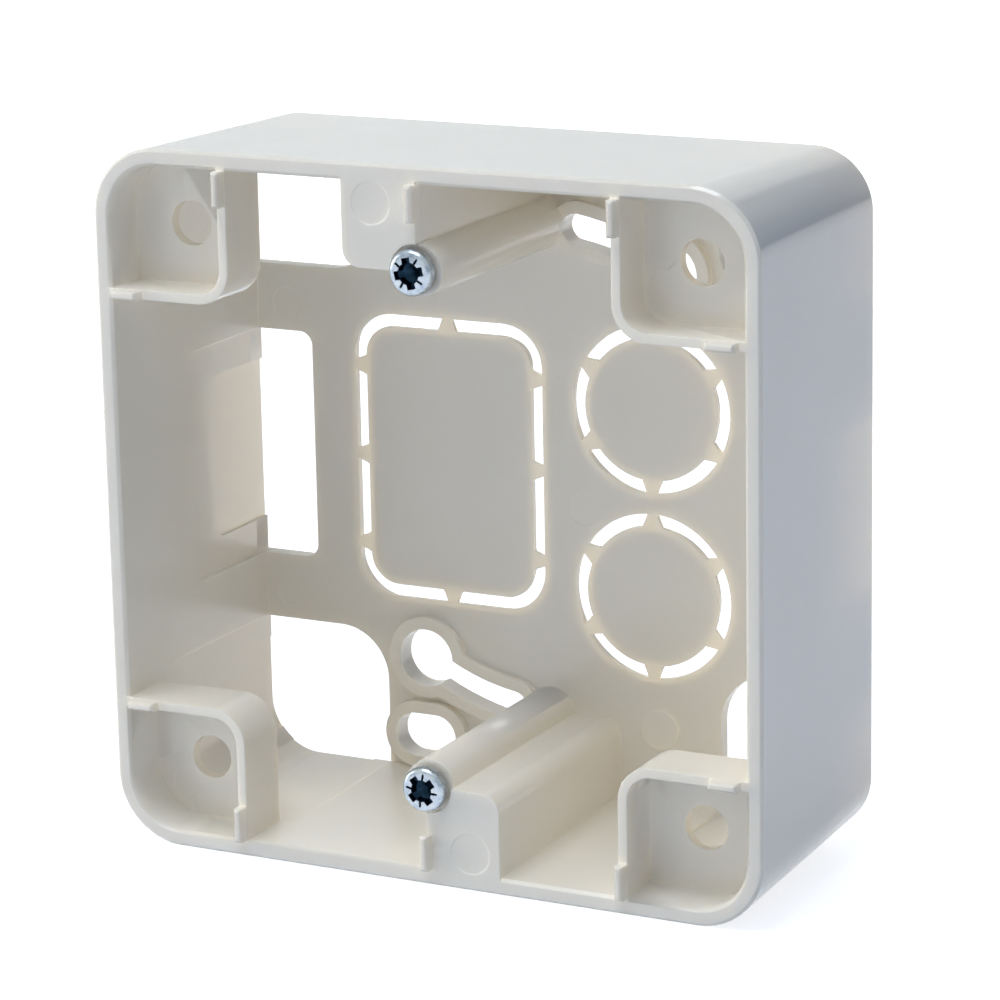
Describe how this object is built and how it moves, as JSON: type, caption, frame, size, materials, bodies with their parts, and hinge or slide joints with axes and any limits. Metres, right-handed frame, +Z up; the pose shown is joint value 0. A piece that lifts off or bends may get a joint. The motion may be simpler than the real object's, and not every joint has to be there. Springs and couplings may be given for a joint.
{
  "type": "surface mount frame",
  "caption": "Square surface mounting frame that holds a wiring or data outlet proud of the wall, with knockouts, cable entries, keyhole slots and device screws.",
  "frame": {"origin": "centre of the rear face of the back plate, the face that lies on the wall", "axes": "+X right and +Z up as seen from the front, +Y into the wall, so the open front is at -Y"},
  "size_m": [0.0834, 0.0355, 0.0834],
  "materials": {
    "ivory_plastic": "smooth glossy moulding, faintly translucent",
    "zinc_steel": "blue zinc plated"
  },
  "bodies": {
    "frame": {"housing": "ivory_plastic"},
    "upper_screw": {"upper_screw": "zinc_steel"},
    "lower_screw": {"lower_screw": "zinc_steel"}
  },
  "joints": [
    {"name": "upper_screw_travel", "type": "slide", "parent": "frame", "child": "upper_screw", "axis": [0, -1, 0], "range_m": [-0.00085, 0.011]},
    {"name": "lower_screw_travel", "type": "slide", "parent": "frame", "child": "lower_screw", "axis": [0, -1, 0], "range_m": [-0.00085, 0.011]}
  ]
}
